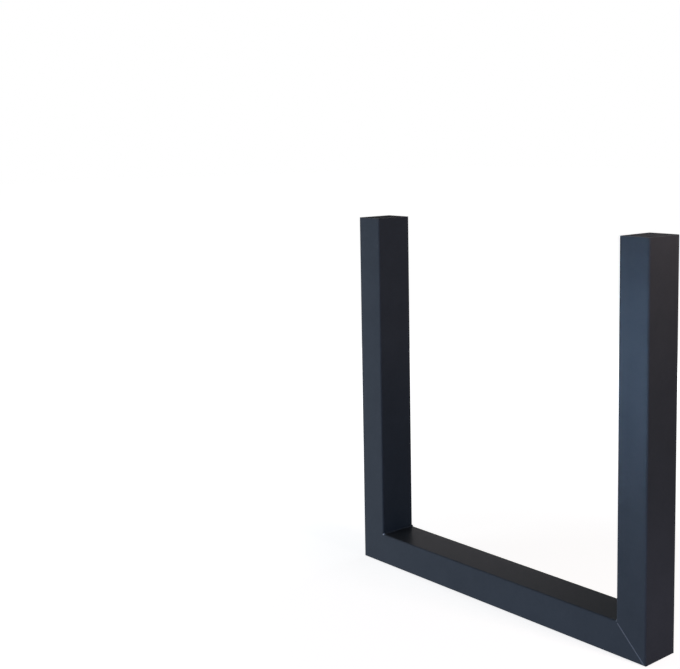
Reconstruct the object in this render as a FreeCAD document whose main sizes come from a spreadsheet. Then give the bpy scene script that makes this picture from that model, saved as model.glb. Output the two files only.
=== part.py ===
import FreeCAD
import Part
import Sketcher
import math
import os

# U-shaped table leg, welded from rectangular steel tube: two uprights and a floor bar, mitred and
# butt-welded at the lower corners, with a tapped steel plate let in flush at the top of each upright.
# Millimetres. X runs across the U, Y through the tube's depth, Z up from the floor; the origin is on
# the floor under the middle of the floor bar.

SIZES = (
    ("frame_width", 710.0, "overall width, outside to outside of the uprights"),
    ("frame_height", 700.0, "overall height, floor to the top of the plates"),
    ("tube_face", 60.0, "width of an upright seen from the front, and height of the floor bar"),
    ("tube_depth", 80.0, "depth of the tube, front to back"),
    ("tube_wall", 2.0, "wall of the tube"),
    ("tube_corner", 3.5, "outside radius of the tube's rolled long edges"),
    ("root_gap", 2.0, "gap between the two mitred ends, filled by the weld"),
    ("weld_crown", 0.4, "height of the mitre weld above the front and back faces"),
    ("corner_bead", 2.2, "radius of the fillet bead in the inner corner of the U"),
    ("plate_thickness", 6.0, "top plate"),
    ("plate_gap", 1.2, "gap between top plate and tube wall, filled by the weld"),
    ("plate_weld_depth", 3.0, "how deep the weld round the top plate reaches"),
    ("bolt_drill", 6.8, "tapping drill of the M8 holes in the top plate"),
    ("bolt_spacing_x", 30.0, "distance between the tapped holes across the U"),
    ("bolt_spacing_y", 50.0, "distance between the tapped holes front to back"),
)

BORE_FACE = "dims.tube_face - 2 * dims.tube_wall"
BORE_DEPTH = "dims.tube_depth - 2 * dims.tube_wall"
# A rolled tube keeps some radius inside even where its wall is as thick as its outside radius.
BORE_CORNER = "max(dims.tube_corner - dims.tube_wall; dims.tube_wall / 4)"
# Height of half the root gap, measured straight up from the 45 degree mitre line.
GAP_RISE = "dims.root_gap / sqrt(2)"
MITRE_REACH = "dims.tube_face / 2 + dims.root_gap"

doc = FreeCAD.newDocument("u_table_leg")


def fill_sheet():
    """Puts each driving size in a cell of its own, under its alias."""
    sheet = doc.addObject("Spreadsheet::Sheet", "dims")
    for row, (alias, value, note) in enumerate(SIZES, start=1):
        sheet.set(f"A{row}", note)
        sheet.set(f"B{row}", str(value))
        sheet.setAlias(f"B{row}", alias)
    doc.recompute()


def place(thing, **expressions):
    """Binds coordinates of an object's placement to expressions."""
    for axis, expression in expressions.items():
        thing.setExpression(f"Placement.Base.{axis}", expression)


def new_sketch(body, name, plane_role):
    sketch = body.newObject("Sketcher::SketchObject", name)
    plane = next(item for item in body.Origin.OriginFeatures if item.Role == plane_role)
    sketch.AttachmentSupport = [(plane, "")]
    sketch.MapMode = "FlatFace"
    return sketch


def dimension(sketch, name, constraint, expression):
    """Adds a driving constraint under a name and binds it to an expression."""
    sketch.renameConstraint(sketch.addConstraint(constraint), name)
    sketch.setExpression(f"Constraints.{name}", expression)


def add_rounded_rectangle(sketch, name, width, height, radius):
    """Draws a rounded rectangle about the sketch's origin, sized by three expressions."""
    half_width = float(sketch.evalExpression(width)) / 2
    half_height = float(sketch.evalExpression(height)) / 2
    round_size = float(sketch.evalExpression(radius))
    near_x = half_width - round_size
    near_y = half_height - round_size
    axis = FreeCAD.Vector(0, 0, 1)
    quarter = math.pi / 2

    def line(x0, y0, x1, y1):
        segment = Part.LineSegment(FreeCAD.Vector(x0, y0, 0), FreeCAD.Vector(x1, y1, 0))
        return sketch.addGeometry(segment, False)

    def arc(x, y, turn):
        circle = Part.Circle(FreeCAD.Vector(x, y, 0), axis, round_size)
        return sketch.addGeometry(Part.ArcOfCircle(circle, turn * quarter, (turn + 1) * quarter), False)

    right = line(half_width, -near_y, half_width, near_y)
    right_top = arc(near_x, near_y, 0)
    top = line(near_x, half_height, -near_x, half_height)
    top_left = arc(-near_x, near_y, 1)
    left = line(-half_width, near_y, -half_width, -near_y)
    left_bottom = arc(-near_x, -near_y, 2)
    bottom = line(-near_x, -half_height, near_x, -half_height)
    bottom_right = arc(near_x, -near_y, 3)

    outline = (right, right_top, top, top_left, left, left_bottom, bottom, bottom_right)
    for first, second in zip(outline, outline[1:] + outline[:1]):
        sketch.addConstraint(Sketcher.Constraint("Tangent", first, 2, second, 1))
    for side in (top, bottom):
        sketch.addConstraint(Sketcher.Constraint("Horizontal", side))
    for side in (right, left):
        sketch.addConstraint(Sketcher.Constraint("Vertical", side))
    for corner in (top_left, left_bottom, bottom_right):
        sketch.addConstraint(Sketcher.Constraint("Equal", right_top, corner))
    sketch.addConstraint(Sketcher.Constraint("Symmetric", right_top, 3, left_bottom, 3, -1, 1))
    across = Sketcher.Constraint("DistanceX", left, 1, right, 1, 2 * half_width)
    dimension(sketch, f"{name}_width", across, width)
    along = Sketcher.Constraint("DistanceY", bottom, 1, top, 1, 2 * half_height)
    dimension(sketch, f"{name}_height", along, height)
    dimension(sketch, f"{name}_radius", Sketcher.Constraint("Radius", right_top, round_size), radius)


def pad(body, sketch, length, side_type="One side", reverse=False):
    feature = body.newObject("PartDesign::Pad", f"{sketch.Name}_pad")
    feature.Profile = sketch
    feature.SideType = side_type
    feature.Reversed = reverse
    feature.setExpression("Length", length)
    sketch.Visibility = False
    doc.recompute()
    return feature


def cut_mitre(body, name, centre_x, centre_z, corner_above):
    """Cuts a 45 degree end with a triangle whose long side rises to the right through the given centre.

    The triangle takes the material above that line or below it.
    """
    sketch = new_sketch(body, name, "XZ_Plane")
    x = float(sketch.evalExpression(centre_x))
    z = float(sketch.evalExpression(centre_z))
    reach = float(sketch.evalExpression(MITRE_REACH))
    low = FreeCAD.Vector(x - reach, z - reach, 0)
    high = FreeCAD.Vector(x + reach, z + reach, 0)
    corner = FreeCAD.Vector(low.x, high.y, 0) if corner_above else FreeCAD.Vector(high.x, low.y, 0)
    slope = sketch.addGeometry(Part.LineSegment(low, high), False)
    from_high = sketch.addGeometry(Part.LineSegment(high, corner), False)
    to_low = sketch.addGeometry(Part.LineSegment(corner, low), False)
    sides = (slope, from_high, to_low)
    for first, second in zip(sides, sides[1:] + sides[:1]):
        sketch.addConstraint(Sketcher.Constraint("Coincident", first, 2, second, 1))
    level, upright = (from_high, to_low) if corner_above else (to_low, from_high)
    sketch.addConstraint(Sketcher.Constraint("Horizontal", level))
    sketch.addConstraint(Sketcher.Constraint("Vertical", upright))
    sketch.addConstraint(Sketcher.Constraint("Equal", level, upright))
    start_x = Sketcher.Constraint("DistanceX", -1, 1, slope, 1, low.x)
    dimension(sketch, "start_x", start_x, f"{centre_x} - ({MITRE_REACH})")
    start_z = Sketcher.Constraint("DistanceY", -1, 1, slope, 1, low.y)
    dimension(sketch, "start_z", start_z, f"{centre_z} - ({MITRE_REACH})")
    rise = Sketcher.Constraint("DistanceY", slope, 1, slope, 2, 2 * reach)
    dimension(sketch, "rise", rise, f"2 * ({MITRE_REACH})")

    before = body.Shape.Volume
    pocket = body.newObject("PartDesign::Pocket", f"{name}_pocket")
    pocket.Profile = sketch
    pocket.Type = "ThroughAll"
    pocket.SideType = "Symmetric"
    sketch.Visibility = False
    doc.recompute()
    if not body.Shape.Volume < before:
        raise RuntimeError(f"{name} cuts nothing")
    return pocket


def turn_to_right(thing):
    """Turns a piece made for the left end of the U half round the upright axis, to the right end."""
    half_turn = FreeCAD.Rotation(FreeCAD.Vector(0, 0, 1), 180)
    thing.Placement = FreeCAD.Placement(FreeCAD.Vector(), half_turn.multiply(thing.Placement.Rotation))


def upright(side):
    """A length of tube on its own axis, standing on the floor, its foot cut at 45 degrees."""
    body = doc.addObject("PartDesign::Body", f"{side}_upright")
    section = new_sketch(body, f"{side}_upright_section", "XY_Plane")
    add_rounded_rectangle(section, "outside", "dims.tube_face", "dims.tube_depth", "dims.tube_corner")
    add_rounded_rectangle(section, "bore", BORE_FACE, BORE_DEPTH, BORE_CORNER)
    pad(body, section, "dims.frame_height")
    cut_mitre(body, f"{side}_upright_mitre", "0", f"dims.tube_face / 2 + {GAP_RISE}", corner_above=False)
    stand_at_end(body, side)
    return body


def stand_at_end(thing, side):
    """Moves a piece made on an upright's axis to its end of the U."""
    axis_x = "(dims.frame_width - dims.tube_face) / 2"
    if side == "right":
        turn_to_right(thing)
    place(thing, x=axis_x if side == "right" else f"-{axis_x}")


def floor_bar():
    """A length of tube on its own axis, lying on the floor, both ends cut at 45 degrees."""
    body = doc.addObject("PartDesign::Body", "floor_bar")
    section = new_sketch(body, "floor_bar_section", "YZ_Plane")
    add_rounded_rectangle(section, "outside", "dims.tube_depth", "dims.tube_face", "dims.tube_corner")
    add_rounded_rectangle(section, "bore", BORE_DEPTH, BORE_FACE, BORE_CORNER)
    pad(body, section, "dims.frame_width", side_type="Symmetric")
    end_x = f"-(dims.frame_width - dims.tube_face) / 2 + {GAP_RISE}"
    pocket = cut_mitre(body, "floor_bar_mitre", end_x, "0", corner_above=True)

    before = body.Shape.Volume
    both_ends = body.newObject("PartDesign::Mirrored", "floor_bar_both_ends")
    both_ends.Originals = [pocket]
    middle = next(item for item in body.Origin.OriginFeatures if item.Role == "YZ_Plane")
    both_ends.MirrorPlane = (middle, [""])
    body.Tip = both_ends
    doc.recompute()
    if not body.Shape.Volume < before:
        raise RuntimeError("the floor bar's second mitre cuts nothing")
    place(body, z="dims.tube_face / 2")
    return body


def weld_half(side, half):
    """Half of the weld round a mitre, from the mitre plane to one tube's cut end.

    It has the tube's own section, proud of the front and back faces by the crown. The half on the
    upright stands as the upright does; the half on the bar is the same, turned over about the mitre line.
    """
    name = f"{side}_weld_on_{half}"
    body = doc.addObject("PartDesign::Body", name)
    section = new_sketch(body, f"{name}_section", "XY_Plane")
    crowned_depth = "dims.tube_depth + 2 * dims.weld_crown"
    add_rounded_rectangle(section, "outside", "dims.tube_face", crowned_depth, "dims.tube_corner")
    add_rounded_rectangle(section, "bore", BORE_FACE, BORE_DEPTH, BORE_CORNER)
    pad(body, section, "dims.tube_face + dims.root_gap")
    cut_mitre(body, f"{name}_middle", "0", "dims.tube_face / 2", corner_above=False)
    cut_mitre(body, f"{name}_end", "0", f"dims.tube_face / 2 + {GAP_RISE}", corner_above=True)
    if half == "upright":
        stand_at_end(body, side)
    else:
        turn_under_mitre(body, side)
    return body


def turn_under_mitre(body, side):
    """Turns a half made on the upright's axis over, about the mitre line, to lie along the bar."""
    mitre_line = FreeCAD.Vector(1, 0, 1)
    body.Placement = FreeCAD.Placement(FreeCAD.Vector(), FreeCAD.Rotation(mitre_line, 180))
    if side == "right":
        turn_to_right(body)
    outer_x = "dims.frame_width / 2"
    place(body, x=outer_x if side == "right" else f"-{outer_x}", z="dims.tube_face / 2")


def corner_bead(side, tubes):
    """The fillet bead along the inner corner of the U, round at both ends, cut to lie on the tubes."""
    inner_x = "(dims.frame_width / 2 - dims.tube_face)"
    corner_x = inner_x if side == "right" else f"-{inner_x}"
    flat_half = "(dims.tube_depth / 2 - dims.tube_corner)"

    run = doc.addObject("Part::Cylinder", f"{side}_bead_run")
    run.setExpression("Radius", "dims.corner_bead")
    run.setExpression("Height", f"2 * {flat_half}")
    run.Placement.Rotation = FreeCAD.Rotation(FreeCAD.Vector(1, 0, 0), -90)
    place(run, x=corner_x, y=f"-{flat_half}", z="dims.tube_face")
    pieces = [run]
    for end, sign in (("front", "-"), ("back", "")):
        drop = doc.addObject("Part::Sphere", f"{side}_bead_{end}")
        drop.setExpression("Radius", "dims.corner_bead")
        place(drop, x=corner_x, y=f"{sign}{flat_half}", z="dims.tube_face")
        pieces.append(drop)
    whole = doc.addObject("Part::MultiFuse", f"{side}_bead_whole")
    whole.Shapes = pieces

    # Only what lies outside the tubes or within half their wall belongs to the bead.
    room = doc.addObject("Part::Box", f"{side}_bead_room")
    size = "2 * dims.corner_bead + dims.tube_wall / 2"
    room.setExpression("Length", size)
    room.setExpression("Width", "dims.tube_depth + 2 * dims.corner_bead")
    room.setExpression("Height", size)
    before_corner = "2 * dims.corner_bead" if side == "right" else "dims.tube_wall / 2"
    place(
        room,
        x=f"{corner_x} - {before_corner}",
        y="-dims.tube_depth / 2 - dims.corner_bead",
        z="dims.tube_face - dims.tube_wall / 2",
    )
    bead = doc.addObject("Part::Common", f"{side}_bead_outside")
    bead.Base = whole
    bead.Tool = room
    for tube in tubes:
        trimmed = doc.addObject("Part::Cut", f"{side}_bead_on_{tube.Name}")
        trimmed.Base = bead
        trimmed.Tool = tube
        bead = trimmed
    return bead


def mitre_weld(side, tubes):
    """The whole weld of a lower corner: round the mitre, with the fillet bead in the inner corner."""
    weld = doc.addObject("Part::MultiFuse", f"{side}_mitre_weld")
    weld.Shapes = [weld_half(side, "upright"), weld_half(side, "bar"), corner_bead(side, tubes)]
    weld.Refine = True
    doc.recompute()
    return weld


PLATE_FACE = f"{BORE_FACE} - 2 * dims.plate_gap"
PLATE_DEPTH = f"{BORE_DEPTH} - 2 * dims.plate_gap"


def top_plate(side):
    """The plate let in flush at the top of an upright, with four tapped holes for the table top."""
    body = doc.addObject("PartDesign::Body", f"{side}_top_plate")
    outline = new_sketch(body, f"{side}_top_plate_outline", "XY_Plane")
    add_rounded_rectangle(outline, "plate", PLATE_FACE, PLATE_DEPTH, BORE_CORNER)
    pad(body, outline, "dims.plate_thickness", reverse=True)

    centres = new_sketch(body, f"{side}_top_plate_centres", "XY_Plane")
    across = float(centres.evalExpression("dims.bolt_spacing_x")) / 2
    along = float(centres.evalExpression("dims.bolt_spacing_y")) / 2
    radius = float(centres.evalExpression("dims.bolt_drill")) / 2
    for number, (sign_x, sign_y) in enumerate(((-1, -1), (1, -1), (-1, 1), (1, 1))):
        middle = FreeCAD.Vector(sign_x * across, sign_y * along, 0)
        hole = centres.addGeometry(Part.Circle(middle, FreeCAD.Vector(0, 0, 1), radius), False)
        at_x = Sketcher.Constraint("DistanceX", -1, 1, hole, 3, middle.x)
        dimension(centres, f"hole_{number}_x", at_x, f"{sign_x} * dims.bolt_spacing_x / 2")
        at_y = Sketcher.Constraint("DistanceY", -1, 1, hole, 3, middle.y)
        dimension(centres, f"hole_{number}_y", at_y, f"{sign_y} * dims.bolt_spacing_y / 2")
        round_wall = Sketcher.Constraint("Radius", hole, radius)
        dimension(centres, f"hole_{number}_radius", round_wall, "dims.bolt_drill / 2")
    doc.recompute()

    before = body.Shape.Volume
    holes = body.newObject("PartDesign::Hole", f"{side}_top_plate_holes")
    holes.Profile = centres
    holes.DepthType = "ThroughAll"
    holes.setExpression("Diameter", "dims.bolt_drill")
    centres.Visibility = False
    doc.recompute()
    if not body.Shape.Volume < before:
        raise RuntimeError(f"the {side} top plate's holes cut nothing")
    stand_at_end(body, side)
    place(body, z="dims.frame_height")
    return body


def plate_weld(side):
    """The weld between a top plate and the tube round it, ground flush with both."""
    body = doc.addObject("PartDesign::Body", f"{side}_plate_weld")
    ring = new_sketch(body, f"{side}_plate_weld_ring", "XY_Plane")
    add_rounded_rectangle(ring, "tube_side", BORE_FACE, BORE_DEPTH, BORE_CORNER)
    add_rounded_rectangle(ring, "plate_side", PLATE_FACE, PLATE_DEPTH, BORE_CORNER)
    pad(body, ring, "dims.plate_weld_depth", reverse=True)
    stand_at_end(body, side)
    place(body, z="dims.frame_height")
    return body


def write(pieces):
    """Writes each piece under its label, once every object has built."""
    doc.recompute()
    for thing in doc.Objects:
        if "Invalid" in thing.State or "Error" in thing.State:
            raise RuntimeError(f"{thing.Name} did not build: {thing.State}")
    for piece in pieces:
        if piece.Shape.isNull() or not piece.Shape.isValid():
            raise RuntimeError(f"{piece.Label} has no valid shape")
    os.makedirs("parts", exist_ok=True)
    for piece in pieces:
        piece.Shape.exportStep(f"parts/{piece.Label}.step")


fill_sheet()
bar = floor_bar()
leg_pieces = [bar]
for end in ("left", "right"):
    post = upright(end)
    leg_pieces += [post, mitre_weld(end, (post, bar)), top_plate(end), plate_weld(end)]
write(leg_pieces)
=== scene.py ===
import math

import bpy
from mathutils import Matrix, Vector


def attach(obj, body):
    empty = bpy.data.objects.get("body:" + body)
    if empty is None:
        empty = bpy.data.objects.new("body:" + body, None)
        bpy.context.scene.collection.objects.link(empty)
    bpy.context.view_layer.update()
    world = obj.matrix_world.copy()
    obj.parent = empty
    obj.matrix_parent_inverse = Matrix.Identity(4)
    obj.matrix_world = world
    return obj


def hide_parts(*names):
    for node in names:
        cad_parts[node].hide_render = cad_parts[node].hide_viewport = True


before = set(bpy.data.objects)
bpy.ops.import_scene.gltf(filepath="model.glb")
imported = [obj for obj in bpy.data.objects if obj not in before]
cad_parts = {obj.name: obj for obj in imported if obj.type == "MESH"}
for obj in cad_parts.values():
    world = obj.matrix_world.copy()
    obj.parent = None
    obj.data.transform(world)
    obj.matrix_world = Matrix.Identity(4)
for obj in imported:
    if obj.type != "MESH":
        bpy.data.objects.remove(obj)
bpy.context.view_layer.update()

# Uprights: two lengths of stock 80 x 60 mm steel tube with 2 mm walls, whose long edges the mill rounds.
# Each foot is sawn at 45 degrees, half a root gap short of the mitre, and each top is sawn square.
# They are powder-coated black after welding: a satin coat with a fine orange peel, a little uneven in tone.
LEG_WIDTH = 0.710
LEG_HEIGHT = 0.700
TUBE_FACE = 0.060
TUBE_DEPTH = 0.080
TUBE_WALL = 0.002
TUBE_EDGE = 0.0035
EDGE_STEPS = 8
ROOT_GAP = 0.002
SAW_WASTE = 0.010
SHARP_ANGLE = math.radians(30)

UPRIGHT_X = (LEG_WIDTH - TUBE_FACE) / 2
MITRE_SLOPE = math.sqrt(0.5)
STANDING = (0, 0, 0)
SIDES = {"left": -1, "right": 1}

CLOUD_SIZE = 0.060
SPECK_SIZE = 0.006
PEEL_SIZE = 0.0018
CLOUD_SHARE = 0.7
COAT_UNEVEN = 0.06
COAT_GLOSS = 0.010


def start_piece(name):
    """Takes the primitive just added as a new piece, with its place in its mesh."""
    piece = bpy.context.object
    piece.name = piece.data.name = name
    bpy.ops.object.transform_apply(location=True, rotation=True, scale=True)
    return piece


def stock_tube(name, end, turn, along):
    """A length of the stock tube, from the middle of one end, along the way that its axis goes."""
    bpy.ops.object.select_all(action="DESELECT")
    bpy.ops.mesh.primitive_plane_add(size=1, location=end, rotation=turn)
    bpy.context.object.scale = (TUBE_FACE, TUBE_DEPTH, 1)
    tube = start_piece(name)
    bpy.ops.object.mode_set(mode="EDIT")
    bpy.ops.mesh.select_all(action="SELECT")
    bpy.ops.mesh.bevel(offset=TUBE_EDGE, segments=EDGE_STEPS, affect="VERTICES")
    bpy.ops.mesh.select_all(action="SELECT")
    bpy.ops.mesh.inset(thickness=TUBE_WALL)
    bpy.ops.mesh.delete(type="FACE")
    bpy.ops.mesh.select_all(action="SELECT")
    bpy.ops.mesh.extrude_region_move(TRANSFORM_OT_translate={"value": along})
    return tube


def saw(point, towards_waste, close):
    """Saws off what lies beyond a plane, and closes the wall's cut end if asked."""
    bpy.ops.mesh.select_all(action="SELECT")
    bpy.ops.mesh.bisect(plane_co=point, plane_no=towards_waste, clear_outer=True)
    if close:
        bpy.ops.mesh.bridge_edge_loops()


def mitre_plane(sign, part_sign, offset):
    """A point of a corner's mitre plane, and its direction away from the upright (1) or the bar (-1).

    The plane is moved into that part by the offset.
    """
    normal = Vector((sign * MITRE_SLOPE, 0, MITRE_SLOPE)) * part_sign
    return Vector((sign * LEG_WIDTH / 2, 0, 0)) + normal * offset, -normal


def close_piece(piece):
    """Turns the faces outwards, leaves edit mode and shades flat faces flat and round edges round."""
    bpy.ops.mesh.select_all(action="SELECT")
    bpy.ops.mesh.normals_make_consistent(inside=False)
    bpy.ops.object.mode_set(mode="OBJECT")
    bpy.ops.object.shade_smooth_by_angle(angle=SHARP_ANGLE)
    even = piece.modifiers.new("even_shading", "WEIGHTED_NORMAL")
    even.keep_sharp = True
    bpy.ops.object.modifier_apply(modifier=even.name)


class Wire:
    """A socket in a node tree. Sums and products of wires add Math nodes."""

    # Places of the colour sockets of a Mix node.
    FIRST_COLOUR = 6
    SECOND_COLOUR = 7
    MIXED_COLOUR = 2

    def __init__(self, tree, socket=None):
        self.tree = tree
        self.socket = socket

    def node(self, kind, settings, sockets, out=0):
        """A node with its settings and the values or wires of its sockets, as the wire of one output."""
        made = self.tree.nodes.new(kind)
        for name, value in settings.items():
            setattr(made, name, value)
        for key, value in sockets.items():
            if isinstance(value, Wire):
                self.tree.links.new(value.socket, made.inputs[key])
            else:
                made.inputs[key].default_value = value
        return Wire(self.tree, made.outputs[out]) if made.outputs else made

    def math(self, operation, first, second):
        return self.node("ShaderNodeMath", {"operation": operation}, {0: first, 1: second})

    def __add__(self, other):
        return self.math("ADD", self, other)

    def __radd__(self, other):
        return self.math("ADD", other, self)

    def __sub__(self, other):
        return self.math("SUBTRACT", self, other)

    def __rsub__(self, other):
        return self.math("SUBTRACT", other, self)

    def __mul__(self, other):
        return self.math("MULTIPLY", self, other)

    def __rmul__(self, other):
        return self.math("MULTIPLY", other, self)

    def mix(self, first, second):
        """This wire as the share of a second colour in a first."""
        sockets = {0: self, self.FIRST_COLOUR: first, self.SECOND_COLOUR: second}
        return self.node("ShaderNodeMix", {"data_type": "RGBA"}, sockets, out=self.MIXED_COLOUR)

    def noise(self, place, size, detail):
        """Cloudy patches of about a size in metres, from 0 to 1."""
        return self.node("ShaderNodeTexNoise", {}, {"Vector": place, "Scale": 1 / size, "Detail": detail})


def coat_material(name, deep, light, roughness, peel_height, painted_highlight=None):
    """A powder coat: tone and sheen drift over hand-wide clouds, and a fine orange peel dimples it.

    With a highlight colour, the piece's attribute says where a highlight is painted lighter and a coat
    shines.
    """
    material = bpy.data.materials.new(name)
    material.use_nodes = True
    tree = material.node_tree
    tree.nodes.clear()
    wire = Wire(tree)
    place = wire.node("ShaderNodeTexCoord", {}, {}, out="Object")
    clouds = wire.noise(place, CLOUD_SIZE, detail=3)
    specks = wire.noise(place, SPECK_SIZE, detail=2)
    peel = wire.noise(place, PEEL_SIZE, detail=2)
    tone = clouds * CLOUD_SHARE + specks * (1 - CLOUD_SHARE)
    sockets = {
        "Base Color": tone.mix((*deep, 1), (*light, 1)),
        "Roughness": roughness + COAT_UNEVEN * (clouds - 0.5) + COAT_UNEVEN * (specks - 0.5),
        "Specular IOR Level": COAT_GLOSS,
        "Normal": wire.node("ShaderNodeBump", {}, {"Strength": 1, "Distance": peel_height, "Height": peel}),
    }
    if painted_highlight:
        # Painted highlight: where the attribute says, the colour goes lighter and a clear coat is laid on.
        highlight_share = wire.node("ShaderNodeAttribute", {"attribute_name": "painted_highlight"}, {}, out="Fac")
        sockets["Base Color"] = highlight_share.mix(sockets["Base Color"], (*painted_highlight, 1))
        sockets["Coat Weight"] = highlight_share * (HIGHLIGHT_COAT_WEIGHT + HIGHLIGHT_COAT_SPECKS * specks)
        sockets["Coat Roughness"] = HIGHLIGHT_COAT_ROUGHNESS
    shader = wire.node("ShaderNodeBsdfPrincipled", {}, sockets)
    wire.node("ShaderNodeOutputMaterial", {}, {"Surface": shader})
    return material


powder_coat = coat_material("black_powder_coat", deep=(0.028, 0.031, 0.036), light=(0.040, 0.044, 0.051),
                            roughness=0.40, peel_height=0.00002)

for side, sign in SIDES.items():
    foot = (sign * UPRIGHT_X, 0, -SAW_WASTE)
    upright = stock_tube(f"{side}_upright_tube", foot, STANDING, (0, 0, LEG_HEIGHT + SAW_WASTE))
    saw(*mitre_plane(sign, 1, ROOT_GAP / 2), close=True)
    close_piece(upright)
    upright.data.materials.append(powder_coat)
    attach(upright, "root")
    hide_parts(f"{side}_upright")

# Floor bar: the same tube lying on the floor between the feet of the uprights, with both ends sawn at
# 45 degrees. It carries the same coat.
QUARTER_TURN = math.radians(90)
LYING = (0, QUARTER_TURN, 0)

bar_end = (-LEG_WIDTH / 2 - SAW_WASTE, 0, TUBE_FACE / 2)
bar_along = (LEG_WIDTH + 2 * SAW_WASTE, 0, 0)
floor_bar = stock_tube("floor_bar_tube", bar_end, LYING, bar_along)
for sign in SIDES.values():
    saw(*mitre_plane(sign, -1, ROOT_GAP / 2), close=True)
close_piece(floor_bar)
floor_bar.data.materials.append(powder_coat)
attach(floor_bar, "root")
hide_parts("floor_bar")

# Mitre welds: each corner is welded all round, so the root gap between the sawn ends is full of weld metal.
# On the front and back the weld stands a little proud, with the ripples that the torch left, and in the inner
# corner a round fillet bead runs from edge to edge. Some beads carry a painted highlight under a shiny clear
# coat.
EIGHTH_TURN = math.radians(45)
INNER_X = LEG_WIDTH / 2 - TUBE_FACE
OUTER_EASE = 0.0006
EASE_STEPS = 3
SLICE_MERGE = 0.00001

SEAM_HALF_WIDTH = 0.0013
SEAM_SINK = 0.00015
SEAM_RIPPLE = 0.0016
SEAM_LENGTH = TUBE_FACE / MITRE_SLOPE - 2 * TUBE_EDGE
SEAM_HEIGHT = {("left", -1): 0.00010, ("right", -1): 0.00038, ("left", 1): 0.00024, ("right", 1): 0.00024}
# Painted highlight on each seam, as a share: the right front seam is painted lightest, the left front not at
# all.
SEAM_PAINTED_HIGHLIGHT = {("left", -1): 0.0, ("right", -1): 0.3, ("left", 1): 0.1, ("right", 1): 0.1}

FILLET_RADIUS = 0.0022
FILLET_RIPPLE = 0.0021
FILLET_MARGIN = 0.0001
FILLET_LENGTH = TUBE_DEPTH - 2 * FILLET_MARGIN
# Painted highlight on the fillets: faint along the crease, and a painted glint at each front end, strongest
# on the left.
FILLET_PAINTED_HIGHLIGHT = 0.04
FILLET_END_PAINTED_GLINT = {"left": 1.0, "right": 0.35}

RIPPLE_SWELL = (0.90, 0.975, 1.00, 0.97, 0.90)
RIPPLE_LEAN = math.tan(math.radians(35))
RIPPLE_MERGE = 0.000002
BEAD_SIDES = 20
BEAD_SHARP_ANGLE = math.radians(40)
DOME_STEPS = 4

# The clear coat that shines over the painted highlights: its weight, its speckled share and its roughness.
HIGHLIGHT_COAT_WEIGHT = 0.7
HIGHLIGHT_COAT_SPECKS = 0.6
HIGHLIGHT_COAT_ROUGHNESS = 0.25
# The welds' coat, with a lighter colour for its painted highlights.
weld_coat = coat_material("coated_weld", deep=(0.027, 0.030, 0.035), light=(0.041, 0.045, 0.052),
                          roughness=0.34, peel_height=0.000012, painted_highlight=(0.160, 0.170, 0.200))


def select_points(piece, chosen):
    """Selects in edit mode the points that a rule on their place chooses, and the edges between them."""
    bpy.ops.mesh.select_mode(type="VERT")
    bpy.ops.mesh.select_all(action="DESELECT")
    bpy.ops.object.mode_set(mode="OBJECT")
    for point in piece.data.vertices:
        point.select = chosen(point.co)
    bpy.ops.object.mode_set(mode="EDIT")


def weld_slice(name, sign, part_sign, end, turn, along):
    """A slice of the tube's wall from the mitre to the sawn end of the upright (1) or of the bar (-1)."""
    piece = stock_tube(name, end, turn, along)
    saw(*mitre_plane(sign, part_sign, 0), close=False)
    point, to_gap = mitre_plane(sign, part_sign, ROOT_GAP / 2)
    saw(point, -to_gap, close=True)
    bpy.ops.object.mode_set(mode="OBJECT")
    return piece


def weld_root(side, sign):
    """The weld metal in the root gap: two slices that meet in the mitre, flush with the tubes.

    The corner's outer edge is eased.
    """
    reach = TUBE_FACE + 2 * SAW_WASTE
    outer_end = (sign * (LEG_WIDTH / 2 + SAW_WASTE), 0, TUBE_FACE / 2)
    bar_side = weld_slice(f"{side}_bar_slice", sign, -1, outer_end, LYING, (-sign * reach, 0, 0))
    foot = (sign * UPRIGHT_X, 0, -SAW_WASTE)
    root = weld_slice(f"{side}_mitre_bead", sign, 1, foot, STANDING, (0, 0, reach))
    bar_side.select_set(True)
    bpy.ops.object.join()
    bpy.ops.object.mode_set(mode="EDIT")
    bpy.ops.mesh.select_all(action="SELECT")
    bpy.ops.mesh.remove_doubles(threshold=SLICE_MERGE)
    bpy.ops.mesh.normals_make_consistent(inside=False)
    corner = Vector((sign * LEG_WIDTH / 2, 0))
    select_points(root, lambda point: (point.xz - corner).length < SLICE_MERGE)
    bpy.ops.mesh.bevel(offset=OUTER_EASE, segments=EASE_STEPS, affect="EDGES")
    close_piece(root)
    return root


def draw_out(start, rings):
    """Draws the selected ring out along X: each next ring is a place and a size, against the first ring's."""
    at, size = start
    for next_at, next_size in rings:
        bpy.ops.mesh.extrude_region_move(TRANSFORM_OT_translate={"value": (next_at - at, 0, 0)})
        grow = next_size / size
        bpy.ops.transform.resize(value=(1, grow, grow), center_override=(next_at, 0, 0))
        at, size = next_at, next_size


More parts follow.
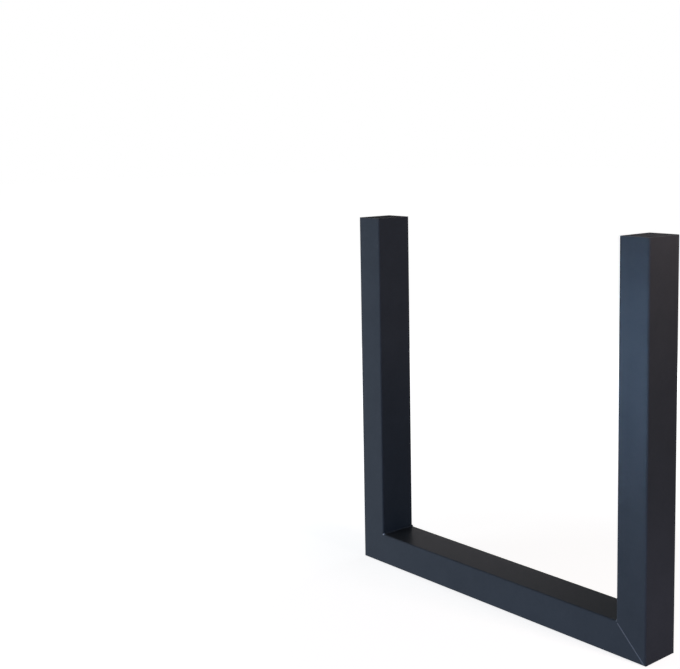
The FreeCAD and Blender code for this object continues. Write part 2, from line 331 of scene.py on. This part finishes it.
def rippled_bead(name, length, half_width, height, ripple):
    """A bead along X with domed ends.

    One ripple is drawn out of a ring, then repeated, and all lean the torch's way.
    """
    run = length - 2 * half_width
    count = round(run / ripple)
    pitch = run / count
    steps = len(RIPPLE_SWELL) - 1
    bpy.ops.object.select_all(action="DESELECT")
    bpy.ops.mesh.primitive_circle_add(vertices=BEAD_SIDES, radius=1, rotation=LYING)
    bpy.context.object.scale = (height * RIPPLE_SWELL[0], half_width * RIPPLE_SWELL[0], 1)
    bead = start_piece(name)
    bpy.ops.object.mode_set(mode="EDIT")
    bpy.ops.mesh.select_all(action="SELECT")
    rings = [(pitch * (i + 1) / steps, swell) for i, swell in enumerate(RIPPLE_SWELL[1:])]
    draw_out((0, RIPPLE_SWELL[0]), rings)
    bpy.ops.object.mode_set(mode="OBJECT")
    row = bead.modifiers.new("ripples", "ARRAY")
    row.count = count
    row.use_relative_offset = False
    row.use_constant_offset = True
    row.constant_offset_displace = (pitch, 0, 0)
    row.use_merge_vertices = True
    row.merge_threshold = RIPPLE_MERGE
    bpy.ops.object.modifier_apply(modifier=row.name)
    bpy.ops.object.mode_set(mode="EDIT")
    for end, way in ((0, -1), (run, 1)):
        select_points(bead, lambda point: (point.x - end) * way > -RIPPLE_MERGE)
        angles = [QUARTER_TURN * step / DOME_STEPS for step in range(1, DOME_STEPS)]
        draw_out((end, 1), [(end + way * half_width * math.sin(a), math.cos(a)) for a in angles])
        bpy.ops.mesh.extrude_region_move(TRANSFORM_OT_translate={"value": (0, 0, 0)})
        bpy.ops.mesh.merge(type="CENTER")
    bpy.ops.mesh.select_all(action="SELECT")
    bpy.ops.mesh.normals_make_consistent(inside=False)
    bpy.ops.transform.translate(value=(-run / 2, 0, 0))
    bpy.ops.object.mode_set(mode="OBJECT")
    lean = Matrix.Identity(4)
    lean[0][2] = RIPPLE_LEAN
    bead.data.transform(lean)
    return bead


def lay_bead(bead, place, turn):
    """Puts a bead in its place, with the place in its mesh."""
    bead.rotation_euler = turn
    bead.location = place
    bpy.ops.object.transform_apply(location=True, rotation=True, scale=True)


def paint_highlight(bead, share):
    """Notes at each point of a bead how strongly a highlight is painted there, by a rule on the point's
    place.
    """
    highlight_share = bead.data.attributes.new("painted_highlight", "FLOAT", "POINT")
    for point, note in zip(bead.data.vertices, highlight_share.data):
        note.value = share(point.co)


for side, sign in SIDES.items():
    weld = weld_root(side, sign)
    beads = []
    for face in (-1, 1):
        height = SEAM_HEIGHT[side, face] + SEAM_SINK
        seam = rippled_bead(f"{side}_seam", SEAM_LENGTH, SEAM_HALF_WIDTH, height, SEAM_RIPPLE)
        middle = (sign * UPRIGHT_X, face * (TUBE_DEPTH / 2 - SEAM_SINK), TUBE_FACE / 2)
        lay_bead(seam, middle, (-face * QUARTER_TURN, sign * EIGHTH_TURN, 0))
        paint_highlight(seam, lambda place: SEAM_PAINTED_HIGHLIGHT[side, face])
        beads.append(seam)
    fillet = rippled_bead(f"{side}_fillet", FILLET_LENGTH, FILLET_RADIUS, FILLET_RADIUS, FILLET_RIPPLE)
    lay_bead(fillet, (sign * INNER_X, 0, TUBE_FACE), (-sign * EIGHTH_TURN, 0, QUARTER_TURN))
    front = TUBE_EDGE - TUBE_DEPTH / 2
    paint_highlight(fillet, lambda place: FILLET_END_PAINTED_GLINT[side] if place.y < front else FILLET_PAINTED_HIGHLIGHT)
    beads.append(fillet)
    bpy.ops.object.select_all(action="DESELECT")
    for bead in beads:
        bead.select_set(True)
    weld.select_set(True)
    bpy.context.view_layer.objects.active = weld
    bpy.ops.object.join()
    bpy.ops.object.shade_smooth_by_angle(angle=BEAD_SHARP_ANGLE)
    weld.data.materials.append(weld_coat)
    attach(weld, "root")
    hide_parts(f"{side}_mitre_weld")

# Top plates: 6 mm steel plates let in flush at the tops of the uprights, with four M8 holes each for the
# table top. They are tapped, and the thread's first turn is eased by a small countersink. The tops are ground
# even, and the coat is dull there.
PLATE_FACE = 0.0536
PLATE_DEPTH = 0.0736
PLATE_THICK = 0.006
PLATE_CORNER = 0.0015
HOLE_X = 0.015
HOLE_Y = 0.025
SLIVER = 0.000001

THREAD_PITCH = 0.00125
THREAD_CREST = 0.0034
THREAD_ROOT = 0.0040
THREAD_TURNS = 7
THREAD_STEPS = 32
THREAD_MERGE = 0.000005
CREST_SHARE = 0.25
FLANK_SHARE = 0.31
ROOT_SHARE = 0.13

SINK_RADIUS = 0.0046
SINK_SIDES = 48

ground_coat = coat_material("ground_top_coat", deep=(0.027, 0.030, 0.035), light=(0.041, 0.045, 0.052),
                            roughness=0.8, peel_height=0.000008)


def tap(name, centre):
    """The tool that cuts a hole: an M8 tap, a screw of one tooth's outline turned up its axis."""
    bpy.ops.object.select_all(action="DESELECT")
    bpy.ops.mesh.primitive_plane_add(size=1)
    tool = start_piece(name)
    bpy.ops.object.mode_set(mode="EDIT")
    bpy.ops.mesh.select_mode(type="VERT")
    bpy.ops.mesh.select_all(action="SELECT")
    bpy.ops.mesh.merge(type="CENTER")
    bpy.ops.transform.translate(value=(THREAD_CREST, 0, 0))
    flank = THREAD_ROOT - THREAD_CREST
    for out, share in ((0, CREST_SHARE), (flank, FLANK_SHARE), (0, ROOT_SHARE), (-flank, FLANK_SHARE)):
        step = (out, 0, share * THREAD_PITCH)
        bpy.ops.mesh.extrude_region_move(TRANSFORM_OT_translate={"value": step})
    bpy.ops.object.mode_set(mode="OBJECT")
    turns = tool.modifiers.new("turns", "SCREW")
    turns.axis = "Z"
    turns.screw_offset = THREAD_PITCH
    turns.iterations = THREAD_TURNS
    turns.steps = turns.render_steps = THREAD_STEPS
    bpy.ops.object.modifier_apply(modifier=turns.name)
    bpy.ops.object.mode_set(mode="EDIT")
    bpy.ops.mesh.select_all(action="SELECT")
    bpy.ops.mesh.remove_doubles(threshold=THREAD_MERGE)
    bpy.ops.mesh.select_mode(type="EDGE")
    bpy.ops.mesh.select_all(action="DESELECT")
    bpy.ops.mesh.select_non_manifold()
    bpy.ops.mesh.extrude_region_move(TRANSFORM_OT_translate={"value": (0, 0, 0)})
    bpy.ops.mesh.merge(type="COLLAPSE")
    bpy.ops.mesh.select_all(action="SELECT")
    bpy.ops.mesh.normals_make_consistent(inside=False)
    bpy.ops.transform.translate(value=centre)
    bpy.ops.object.mode_set(mode="OBJECT")
    return tool


def cut_away(piece, tool):
    """Cuts a tool's shape out of a piece and puts the tool away."""
    cut = piece.modifiers.new("cut", "BOOLEAN")
    cut.operation = "DIFFERENCE"
    cut.solver = "EXACT"
    cut.object = tool
    bpy.ops.object.select_all(action="DESELECT")
    piece.select_set(True)
    bpy.context.view_layer.objects.active = piece
    bpy.ops.object.modifier_apply(modifier=cut.name)
    bpy.data.objects.remove(tool)


for side, sign in SIDES.items():
    plate_bottom = LEG_HEIGHT - PLATE_THICK
    bpy.ops.object.select_all(action="DESELECT")
    bpy.ops.mesh.primitive_plane_add(size=1, location=(sign * UPRIGHT_X, 0, plate_bottom))
    bpy.context.object.scale = (PLATE_FACE, PLATE_DEPTH, 1)
    plate = start_piece(f"{side}_tapped_plate")
    bpy.ops.object.mode_set(mode="EDIT")
    bpy.ops.mesh.select_all(action="SELECT")
    bpy.ops.mesh.bevel(offset=PLATE_CORNER, segments=EDGE_STEPS, affect="VERTICES")
    bpy.ops.mesh.select_all(action="SELECT")
    bpy.ops.mesh.extrude_region_move(TRANSFORM_OT_translate={"value": (0, 0, PLATE_THICK)})
    bpy.ops.mesh.select_all(action="SELECT")
    bpy.ops.mesh.normals_make_consistent(inside=False)
    bpy.ops.object.mode_set(mode="OBJECT")
    for hole_x in (-HOLE_X, HOLE_X):
        for hole_y in (-HOLE_Y, HOLE_Y):
            axis_x = sign * UPRIGHT_X + hole_x
            cut_away(plate, tap(f"{side}_tap", (axis_x, hole_y, plate_bottom - THREAD_PITCH)))
            bpy.ops.mesh.primitive_cone_add(vertices=SINK_SIDES, radius1=0, radius2=2 * SINK_RADIUS,
                                            depth=2 * SINK_RADIUS, location=(axis_x, hole_y, LEG_HEIGHT))
            cut_away(plate, start_piece(f"{side}_countersink"))
    bpy.ops.object.mode_set(mode="EDIT")
    bpy.ops.mesh.select_all(action="SELECT")
    bpy.ops.mesh.dissolve_degenerate(threshold=SLIVER)
    bpy.ops.object.mode_set(mode="OBJECT")
    bpy.ops.object.shade_smooth_by_angle(angle=SHARP_ANGLE)
    plate.data.materials.append(ground_coat)
    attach(plate, "root")
    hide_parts(f"{side}_top_plate")

# Plate welds: the ring of weld between each plate and the tube round it, ground flush with both.
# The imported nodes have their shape, and get the dull coat of the ground tops.
for side in SIDES:
    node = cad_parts[f"{side}_plate_weld"]
    for slot in node.material_slots:
        slot.material = ground_coat

# Studio floor: a plain pale sheet. It keeps the leg's shadow round the leg, and further off it is plain
# white.
FLOOR_SIZE = 40.0
FLOOR_DROP = 0.0003
FLOOR_TONE = 0.45
SHADOW_NEAR = 0.4
SHADOW_FAR = 1.2
NEAR_GLOW = 0.82
BLACK = (0, 0, 0, 1)
WHITE = (1, 1, 1, 1)

bpy.ops.object.select_all(action="DESELECT")
bpy.ops.mesh.primitive_plane_add(size=FLOOR_SIZE, location=(0, 0, -FLOOR_DROP))
floor = start_piece("studio_floor")
floor_white = bpy.data.materials.new("studio_white")
floor_white.use_nodes = True
floor_white.node_tree.nodes.clear()
wire = Wire(floor_white.node_tree)


def seen_directly(wire):
    """1 for rays from the camera and in mirrors and glass, 0 for the light that the room throws back."""
    camera = wire.node("ShaderNodeLightPath", {}, {}, out="Is Camera Ray")
    glossy = wire.node("ShaderNodeLightPath", {}, {}, out="Is Glossy Ray")
    clear = wire.node("ShaderNodeLightPath", {}, {}, out="Is Transmission Ray")
    return wire.math("MAXIMUM", wire.math("MAXIMUM", camera, glossy), clear)


place = wire.node("ShaderNodeTexCoord", {}, {}, out="Object")
distance = wire.node("ShaderNodeVectorMath", {"operation": "LENGTH"}, {0: place}, out="Value")
white = wire.node("ShaderNodeMapRange", {"interpolation_type": "SMOOTHSTEP"},
                  {"Value": distance, "From Min": SHADOW_NEAR, "From Max": SHADOW_FAR,
                   "To Min": NEAR_GLOW, "To Max": 1.0})
paper = wire.node("ShaderNodeBsdfDiffuse", {}, {"Color": (FLOOR_TONE, FLOOR_TONE, FLOOR_TONE, 1)})
shine = white * seen_directly(wire)
glow = wire.node("ShaderNodeEmission", {}, {"Color": shine.mix(BLACK, WHITE), "Strength": 1})
sheet = wire.node("ShaderNodeAddShader", {}, {0: paper, 1: glow})
wire.node("ShaderNodeOutputMaterial", {}, {"Surface": sheet})
floor.data.materials.append(floor_white)

# Light: two low soft boxes in front, cool as daylight, and a small gridded one on the right upright. Two
# small boxes stand close to the leg's right side, one high and one low, and a strip stands at its left. Two
# boxes behind and a weak one overhead fill in, in a dim room whose walls look white.
ROOM_LIGHT = 0.01
LEG_MIDDLE = (0, 0, LEG_HEIGHT / 2)
OPEN_SPREAD = 180

world = bpy.data.worlds.new("pale_room")
world.use_nodes = True
world.node_tree.nodes.clear()
bpy.context.scene.world = world
wire = Wire(world.node_tree)
room = wire.node("ShaderNodeBackground", {}, {"Color": WHITE, "Strength": ROOM_LIGHT})
backdrop = wire.node("ShaderNodeBackground", {}, {"Color": WHITE, "Strength": 1})
both = wire.node("ShaderNodeMixShader", {}, {0: seen_directly(wire), 1: room, 2: backdrop})
wire.node("ShaderNodeOutputWorld", {}, {"Surface": both})


def soft_light(name, place, aim, size, watts, tint, spread=OPEN_SPREAD, glare=False):
    """A soft box at a place, turned to a point. A grid in front of it narrows the spread, in degrees.

    Only a box with glare shows in the coat's sheen, where the others would leave white streaks.
    """
    towards = Vector(aim) - Vector(place)
    turn = towards.to_track_quat("-Z", "Y").to_euler()
    bpy.ops.object.light_add(type="AREA", location=place, rotation=turn)
    lamp = bpy.context.object
    lamp.name = lamp.data.name = name
    lamp.visible_camera = False
    lamp.visible_glossy = glare
    lamp.data.shape = "RECTANGLE"
    lamp.data.size, lamp.data.size_y = size
    lamp.data.energy = watts
    lamp.data.color = tint
    lamp.data.spread = math.radians(spread)


soft_light("front_left", place=(-1.4, -1.9, 0.22), aim=LEG_MIDDLE, size=(1.0, 0.34),
           watts=48.5, tint=(0.89, 0.95, 1.0))
soft_light("front_right", place=(0.8, -2.1, 0.22), aim=LEG_MIDDLE, size=(1.4, 0.34),
           watts=30, tint=(0.44, 0.65, 1.0))
soft_light("front_grid", place=(-0.6, -2.1, 0.9), aim=(0.34, 0, 0.50), size=(0.25, 0.25),
           watts=0.58, tint=(0.48, 0.72, 1.0), spread=15)
soft_light("right_high", place=(0.8, 0.0, 1.05), aim=(0.355, 0, 0.68), size=(0.12, 0.3),
           watts=4.4, tint=(1.0, 0.77, 0.68))
soft_light("right_low", place=(0.65, 0.0, 0.06), aim=(0.355, 0, 0.06), size=(0.22, 0.10),
           watts=0.31, tint=(0.98, 0.84, 1.0))
soft_light("left_strip", place=(-2.4, 0.0, 0.5), aim=(-0.355, 0, 0.4), size=(0.25, 0.8),
           watts=20, tint=(0.9, 0.95, 1.0))
soft_light("back_left", place=(-1.9, 1.83, 0.4), aim=LEG_MIDDLE, size=(1.0, 0.6),
           watts=4.7, tint=(1.0, 0.91, 0.95), glare=True)
soft_light("back_box", place=(-0.2, 2.4, 0.22), aim=LEG_MIDDLE, size=(1.2, 0.34),
           watts=34, tint=(0.9, 0.95, 1.0))
soft_light("overhead", place=(-0.15, 0.2, 1.7), aim=(-0.15, 0, 0.7), size=(0.6, 0.3),
           watts=1.0, tint=(1.0, 1.0, 1.0))

# Camera: it stands to the right of the leg and a little above its top, and looks across at it.
CAMERA_PLACE = (1.4744, -1.5499, 0.8670)
CAMERA_TURN = tuple(math.radians(angle) for angle in (83.571, 0.679, 48.054))
CAMERA_LENS = 62.828
CAMERA_SENSOR = 36.0
CAMERA_SHIFT = (-0.10, -0.10)

bpy.ops.object.camera_add(location=CAMERA_PLACE, rotation=CAMERA_TURN)
camera = bpy.context.object
camera.data.lens = CAMERA_LENS
camera.data.sensor_width = CAMERA_SENSOR
camera.data.shift_x, camera.data.shift_y = CAMERA_SHIFT
bpy.context.scene.camera = camera
bpy.context.scene.view_settings.view_transform = "Standard"
